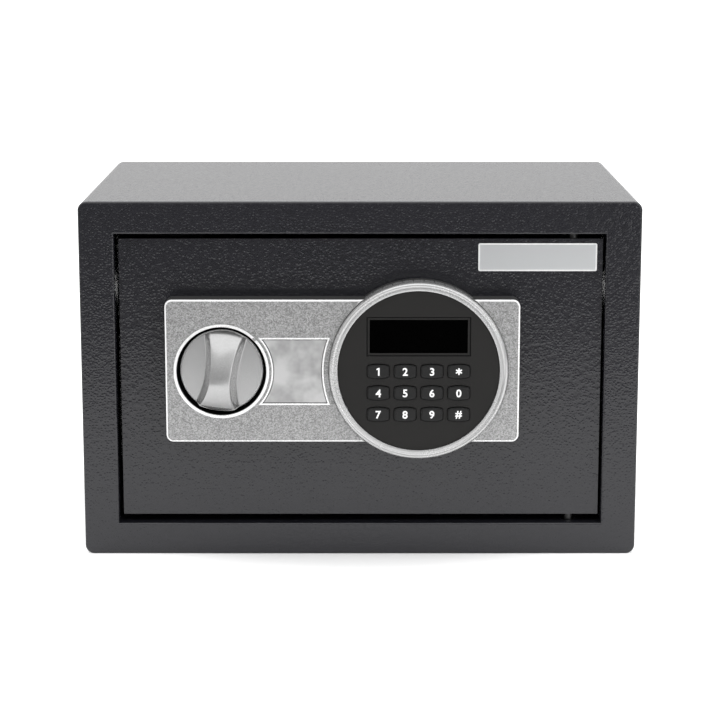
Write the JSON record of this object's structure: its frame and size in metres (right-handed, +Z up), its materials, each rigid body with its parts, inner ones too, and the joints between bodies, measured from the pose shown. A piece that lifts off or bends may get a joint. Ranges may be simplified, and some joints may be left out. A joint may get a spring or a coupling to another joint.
{
  "type": "safe",
  "caption": "Small steel safe with a textured dark cabinet, a hinged door carrying a silver panel with a turning knob and a round keypad, and sliding locking bolts inside.",
  "frame": {"origin": "centre of the underside of the cabinet, midway between the frame's face and the cabinet's rear edge", "axes": "+X to the right as seen from the front, +Y from the door to the rear, +Z up"},
  "size_m": [0.31, 0.2175, 0.2],
  "materials": {
    "cabinet_paint": "dark grey textured powder coat",
    "door_paint": "dark grey textured powder coat",
    "felt": "dark grey needle felt",
    "silver_plastic": "silver metallic lacquer on plastic",
    "keypad_black": "satin black",
    "key_plastic": "satin black",
    "display_black": "clear over black",
    "black_plastic": "fine moulded texture",
    "label_foil": "blank brushed foil",
    "zinc_steel": "zinc plated",
    "bright_steel": "bright nickel plate",
    "brass": "turned",
    "coil_tape": "amber tape over copper wire",
    "circuit_board": "solder mask",
    "keypad_rubber": "translucent silicone",
    "battery_wrap": "printed sleeve, plain",
    "red_plastic": "glossy",
    "wire_sleeve": "smooth insulation"
  },
  "bodies": {
    "cabinet": {"cabinet_shell": "cabinet_paint", "front_frame": "cabinet_paint", "rear_panel": "cabinet_paint", "hinge_bush_lower": "brass", "hinge_bush_upper": "brass", "floor_mat": "felt"},
    "door": {"door_plate": "door_paint", "door_casing": "door_paint", "door_back_cover": "door_paint", "cover_screws": "zinc_steel", "hinge_pin_lower": "zinc_steel", "hinge_pin_upper": "zinc_steel", "door_label": "label_foil", "panel_housing": "silver_plastic", "panel_screws": "zinc_steel", "keypad_ring": "silver_plastic", "keypad_face": "keypad_black", "display_window": "display_black", "display_module": "black_plastic", "keypad_mat": "keypad_rubber", "control_board": "circuit_board", "buzzer": "black_plastic", "spindle_bush": "brass", "override_lock_body": "bright_steel", "override_lock_nut": "zinc_steel", "solenoid_frame": "zinc_steel", "solenoid_coil": "coil_tape", "solenoid_spring": "bright_steel", "guide_studs": "zinc_steel", "guide_washers": "zinc_steel", "battery_tray": "black_plastic", "battery_contacts": "bright_steel", "batteries": "battery_wrap", "reset_switch": "black_plastic", "wire_harness": "wire_sleeve"},
    "knob": {"knob": "silver_plastic", "knob_spindle": "zinc_steel", "drive_crank": "zinc_steel"},
    "bolt_carriage": {"bolt_plate": "zinc_steel", "locking_bolt_upper": "bright_steel", "locking_bolt_lower": "bright_steel"},
    "plunger": {"solenoid_plunger": "bright_steel", "release_link": "zinc_steel"},
    "lock_plug": {"override_plug": "brass", "override_cam": "zinc_steel"},
    "lock_cover": {"lock_cover": "silver_plastic"},
    "battery_lid": {"battery_lid": "black_plastic"},
    "reset_button": {"reset_button": "red_plastic"},
    "key_1": {"key_1": "key_plastic"},
    "key_2": {"key_2": "key_plastic"},
    "key_3": {"key_3": "key_plastic"},
    "key_star": {"key_star": "key_plastic"},
    "key_4": {"key_4": "key_plastic"},
    "key_5": {"key_5": "key_plastic"},
    "key_6": {"key_6": "key_plastic"},
    "key_0": {"key_0": "key_plastic"},
    "key_7": {"key_7": "key_plastic"},
    "key_8": {"key_8": "key_plastic"},
    "key_9": {"key_9": "key_plastic"},
    "key_hash": {"key_hash": "key_plastic"}
  },
  "joints": [
    {"name": "door_hinge", "type": "hinge", "parent": "cabinet", "child": "door", "pos_m": [0.118, -0.09, 0.1], "axis": [0, 0, 1], "range_deg": [0, 110]},
    {"name": "knob_turn", "type": "hinge", "parent": "door", "child": "knob", "pos_m": [-0.0765, -0.096, 0.107], "axis": [0, -1, 0], "range_deg": [0, 90]},
    {"name": "bolt_slide", "type": "slide", "parent": "door", "child": "bolt_carriage", "axis": [-1, 0, 0], "range_m": [0, 0.014]},
    {"name": "plunger_slide", "type": "slide", "parent": "door", "child": "plunger", "axis": [0, 0, 1], "range_m": [0, 0.0045], "deforming": ["solenoid_spring"]},
    {"name": "override_turn", "type": "hinge", "parent": "door", "child": "lock_plug", "pos_m": [-0.0343, -0.096, 0.107], "axis": [0, 1, 0], "range_deg": [0, 90]},
    {"name": "lock_cover_pull", "type": "slide", "parent": "door", "child": "lock_cover", "axis": [0, -1, 0], "range_m": [0, 0.03]},
    {"name": "battery_lid_pull", "type": "slide", "parent": "door", "child": "battery_lid", "axis": [0, 1, 0], "range_m": [0, 0.03]},
    {"name": "reset_press", "type": "slide", "parent": "door", "child": "reset_button", "axis": [0, -1, 0], "range_m": [0, 0.0015], "stiffness_N_per_m": 400, "springref_m": -0.0004},
    {"name": "key_1_press", "type": "slide", "parent": "door", "child": "key_1", "axis": [0, 1, 0], "range_m": [0, 0.0012], "stiffness_N_per_m": 500, "springref_m": -0.0004},
    {"name": "key_2_press", "type": "slide", "parent": "door", "child": "key_2", "axis": [0, 1, 0], "range_m": [0, 0.0012], "stiffness_N_per_m": 500, "springref_m": -0.0004},
    {"name": "key_3_press", "type": "slide", "parent": "door", "child": "key_3", "axis": [0, 1, 0], "range_m": [0, 0.0012], "stiffness_N_per_m": 500, "springref_m": -0.0004},
    {"name": "key_star_press", "type": "slide", "parent": "door", "child": "key_star", "axis": [0, 1, 0], "range_m": [0, 0.0012], "stiffness_N_per_m": 500, "springref_m": -0.0004},
    {"name": "key_4_press", "type": "slide", "parent": "door", "child": "key_4", "axis": [0, 1, 0], "range_m": [0, 0.0012], "stiffness_N_per_m": 500, "springref_m": -0.0004},
    {"name": "key_5_press", "type": "slide", "parent": "door", "child": "key_5", "axis": [0, 1, 0], "range_m": [0, 0.0012], "stiffness_N_per_m": 500, "springref_m": -0.0004},
    {"name": "key_6_press", "type": "slide", "parent": "door", "child": "key_6", "axis": [0, 1, 0], "range_m": [0, 0.0012], "stiffness_N_per_m": 500, "springref_m": -0.0004},
    {"name": "key_0_press", "type": "slide", "parent": "door", "child": "key_0", "axis": [0, 1, 0], "range_m": [0, 0.0012], "stiffness_N_per_m": 500, "springref_m": -0.0004},
    {"name": "key_7_press", "type": "slide", "parent": "door", "child": "key_7", "axis": [0, 1, 0], "range_m": [0, 0.0012], "stiffness_N_per_m": 500, "springref_m": -0.0004},
    {"name": "key_8_press", "type": "slide", "parent": "door", "child": "key_8", "axis": [0, 1, 0], "range_m": [0, 0.0012], "stiffness_N_per_m": 500, "springref_m": -0.0004},
    {"name": "key_9_press", "type": "slide", "parent": "door", "child": "key_9", "axis": [0, 1, 0], "range_m": [0, 0.0012], "stiffness_N_per_m": 500, "springref_m": -0.0004},
    {"name": "key_hash_press", "type": "slide", "parent": "door", "child": "key_hash", "axis": [0, 1, 0], "range_m": [0, 0.0012], "stiffness_N_per_m": 500, "springref_m": -0.0004}
  ],
  "couplings": [
    {"joint": "knob_turn", "follows": "bolt_slide", "rad_per_m": 112.2}
  ]
}
